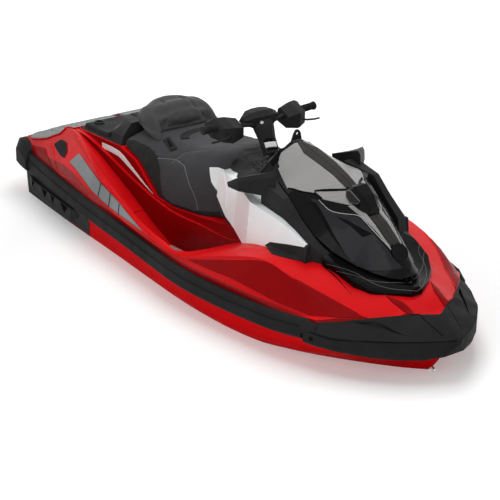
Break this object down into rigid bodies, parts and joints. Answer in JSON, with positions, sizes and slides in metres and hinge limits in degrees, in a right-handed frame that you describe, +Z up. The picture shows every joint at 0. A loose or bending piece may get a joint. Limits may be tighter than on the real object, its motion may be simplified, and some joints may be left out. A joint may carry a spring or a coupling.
{
  "type": "personal watercraft",
  "caption": "Jet-driven personal watercraft with a seat for the rider, tilting storage cover, steered jet nozzle, reverse gate and handlebar.",
  "frame": {"origin": "on the centreline amidships, at the height of the still waterline", "axes": "+X to the bow, +Y to port, +Z up"},
  "size_m": [3.167, 1.2548, 1.1498],
  "materials": {
    "gelcoat_red": "gloss",
    "rail_black": "satin",
    "seat_charcoal": "matt vinyl",
    "black_plastic": "satin",
    "white_plastic": "gloss",
    "grey_plastic": "satin",
    "foam_mat": "ribbed foam",
    "mirror_glass": "polished",
    "cast_alloy": "cast",
    "stainless": "brushed",
    "engine_block": "cast",
    "rubber_grip": "matt"
  },
  "bodies": {
    "hull": {"hull": "gelcoat_red", "deck": "gelcoat_red", "engine": "engine_block", "rub_rails": "rail_black", "bow_bumper": "rail_black", "stern_caps": "rail_black", "seat_cushion": "seat_charcoal", "seat_shell": "black_plastic", "seat_bolster": "seat_charcoal", "console": "black_plastic", "nose_fascia": "black_plastic", "fairing_starboard": "white_plastic", "shroud_starboard": "black_plastic", "fairing_port": "white_plastic", "shroud_port": "black_plastic", "storage_bin": "black_plastic", "mirror_glasses": "mirror_glass", "mirror_starboard": "black_plastic", "mirror_port": "black_plastic", "pump_housing": "cast_alloy", "ride_plate": "cast_alloy", "intake_grate": "cast_alloy", "side_accents": "grey_plastic", "rear_deck_mats": "foam_mat", "footwell_mats": "foam_mat", "rear_tray": "black_plastic", "anchor_rings": "black_plastic", "sponsons": "rail_black", "bow_eye": "stainless", "stern_eyes": "stainless", "quarter_plugs": "rubber_grip"},
    "hood": {"hood": "grey_plastic", "hood_scoop": "black_plastic"},
    "steering": {"steering_neck": "black_plastic", "handlebar": "stainless", "gauge_pod": "black_plastic", "grips": "rubber_grip", "hand_guards": "black_plastic", "levers": "black_plastic"},
    "impeller": {"impeller": "stainless", "drive_shaft": "stainless"},
    "trim_ring": {"trim_ring": "cast_alloy"},
    "nozzle": {"steering_nozzle": "cast_alloy"},
    "reverse_gate": {"reverse_gate": "cast_alloy"}
  },
  "joints": [
    {"name": "steering", "type": "hinge", "parent": "hull", "child": "steering", "pos_m": [0.1875, 0, 0.65], "axis": [-0.5, 0, 0.866], "range_deg": [-25, 25]},
    {"name": "impeller_spin", "type": "hinge", "parent": "hull", "child": "impeller", "pos_m": [-1.0825, 0, -0.112], "axis": [1, 0, 0], "continuous": true},
    {"name": "trim", "type": "hinge", "parent": "hull", "child": "trim_ring", "pos_m": [-1.3975, 0, -0.112], "axis": [0, 1, 0], "range_deg": [-8, 8]},
    {"name": "nozzle_steer", "type": "hinge", "parent": "trim_ring", "child": "nozzle", "pos_m": [-1.3975, 0, -0.112], "axis": [0, 0, 1], "range_deg": [-20, 20]},
    {"name": "reverse_gate", "type": "hinge", "parent": "hull", "child": "reverse_gate", "pos_m": [-1.3655, 0, -0.112], "axis": [0, -1, 0], "range_deg": [0, 75]},
    {"name": "hood_open", "type": "hinge", "parent": "hull", "child": "hood", "pos_m": [1.2235, 0, 0.39], "axis": [0, 1, 0], "range_deg": [0, 50]}
  ],
  "couplings": [
    {"joint": "nozzle_steer", "follows": "steering", "ratio": -0.8}
  ]
}
